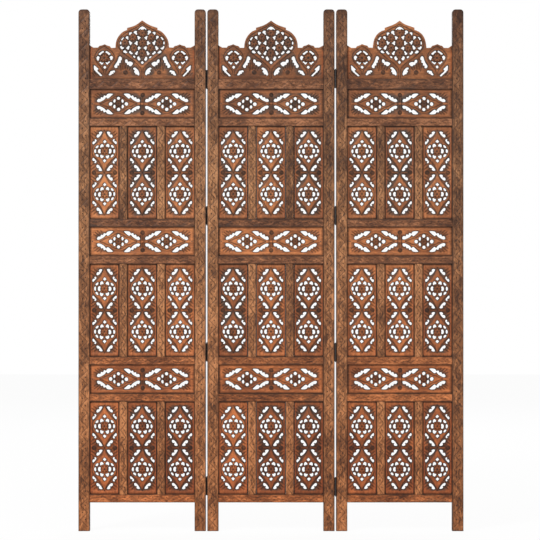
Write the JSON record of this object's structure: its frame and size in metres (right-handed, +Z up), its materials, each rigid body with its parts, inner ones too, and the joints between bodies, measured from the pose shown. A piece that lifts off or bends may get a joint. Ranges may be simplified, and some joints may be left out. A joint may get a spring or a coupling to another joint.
{
  "type": "folding screen",
  "caption": "Free-standing folding room screen: framed leaves with pierced and carved jali panels, an ogee crest on each leaf, and black butt hinges at the folds.",
  "frame": {"origin": "on the floor, under the middle of the centre leaf, at the middle of its thickness, with all leaves in one plane", "axes": "+Z up, +X along the screen to the viewer's right, -Y towards the viewer of the carved front"},
  "size_m": [1.21, 0.036, 1.64],
  "materials": {
    "frame_wood": "waxed and antiqued, darker at edges and grooves",
    "jali_wood": "waxed and antiqued, orange-brown with grey-black patina in the carving",
    "hinge_iron": "black, slightly rough"
  },
  "bodies": {
    "left_leaf": {"left_leaf_left_stile": "frame_wood", "left_leaf_right_stile": "frame_wood", "left_leaf_bottom_rail": "frame_wood", "left_leaf_lower_band_bottom_rail": "frame_wood", "left_leaf_lower_band_top_rail": "frame_wood", "left_leaf_middle_band_bottom_rail": "frame_wood", "left_leaf_middle_band_top_rail": "frame_wood", "left_leaf_upper_band_bottom_rail": "frame_wood", "left_leaf_crest_rail": "frame_wood", "left_leaf_mullions": "frame_wood", "left_leaf_lower_jali_panels": "jali_wood", "left_leaf_middle_jali_panels": "jali_wood", "left_leaf_upper_jali_panels": "jali_wood", "left_leaf_lower_band_panel": "jali_wood", "left_leaf_middle_band_panel": "jali_wood", "left_leaf_upper_band_panel": "jali_wood", "left_leaf_crest_panel": "jali_wood", "left_fold_leaf_plates": "hinge_iron"},
    "centre_leaf": {"centre_leaf_left_stile": "frame_wood", "centre_leaf_right_stile": "frame_wood", "centre_leaf_bottom_rail": "frame_wood", "centre_leaf_lower_band_bottom_rail": "frame_wood", "centre_leaf_lower_band_top_rail": "frame_wood", "centre_leaf_middle_band_bottom_rail": "frame_wood", "centre_leaf_middle_band_top_rail": "frame_wood", "centre_leaf_upper_band_bottom_rail": "frame_wood", "centre_leaf_crest_rail": "frame_wood", "centre_leaf_mullions": "frame_wood", "centre_leaf_lower_jali_panels": "jali_wood", "centre_leaf_middle_jali_panels": "jali_wood", "centre_leaf_upper_jali_panels": "jali_wood", "centre_leaf_lower_band_panel": "jali_wood", "centre_leaf_middle_band_panel": "jali_wood", "centre_leaf_upper_band_panel": "jali_wood", "centre_leaf_crest_panel": "jali_wood", "left_fold_centre_plates": "hinge_iron", "left_fold_pins": "hinge_iron", "right_fold_centre_plates": "hinge_iron", "right_fold_pins": "hinge_iron"},
    "right_leaf": {"right_leaf_left_stile": "frame_wood", "right_leaf_right_stile": "frame_wood", "right_leaf_bottom_rail": "frame_wood", "right_leaf_lower_band_bottom_rail": "frame_wood", "right_leaf_lower_band_top_rail": "frame_wood", "right_leaf_middle_band_bottom_rail": "frame_wood", "right_leaf_middle_band_top_rail": "frame_wood", "right_leaf_upper_band_bottom_rail": "frame_wood", "right_leaf_crest_rail": "frame_wood", "right_leaf_mullions": "frame_wood", "right_leaf_lower_jali_panels": "jali_wood", "right_leaf_middle_jali_panels": "jali_wood", "right_leaf_upper_jali_panels": "jali_wood", "right_leaf_lower_band_panel": "jali_wood", "right_leaf_middle_band_panel": "jali_wood", "right_leaf_upper_band_panel": "jali_wood", "right_leaf_crest_panel": "jali_wood", "right_fold_leaf_plates": "hinge_iron"}
  },
  "joints": [
    {"name": "left_fold", "type": "hinge", "parent": "centre_leaf", "child": "left_leaf", "pos_m": [-0.2025, 0.0155, 0], "axis": [0, 0, -1], "range_deg": [-5, 180]},
    {"name": "right_fold", "type": "hinge", "parent": "centre_leaf", "child": "right_leaf", "pos_m": [0.2025, -0.0155, 0], "axis": [0, 0, -1], "range_deg": [-5, 180]}
  ]
}
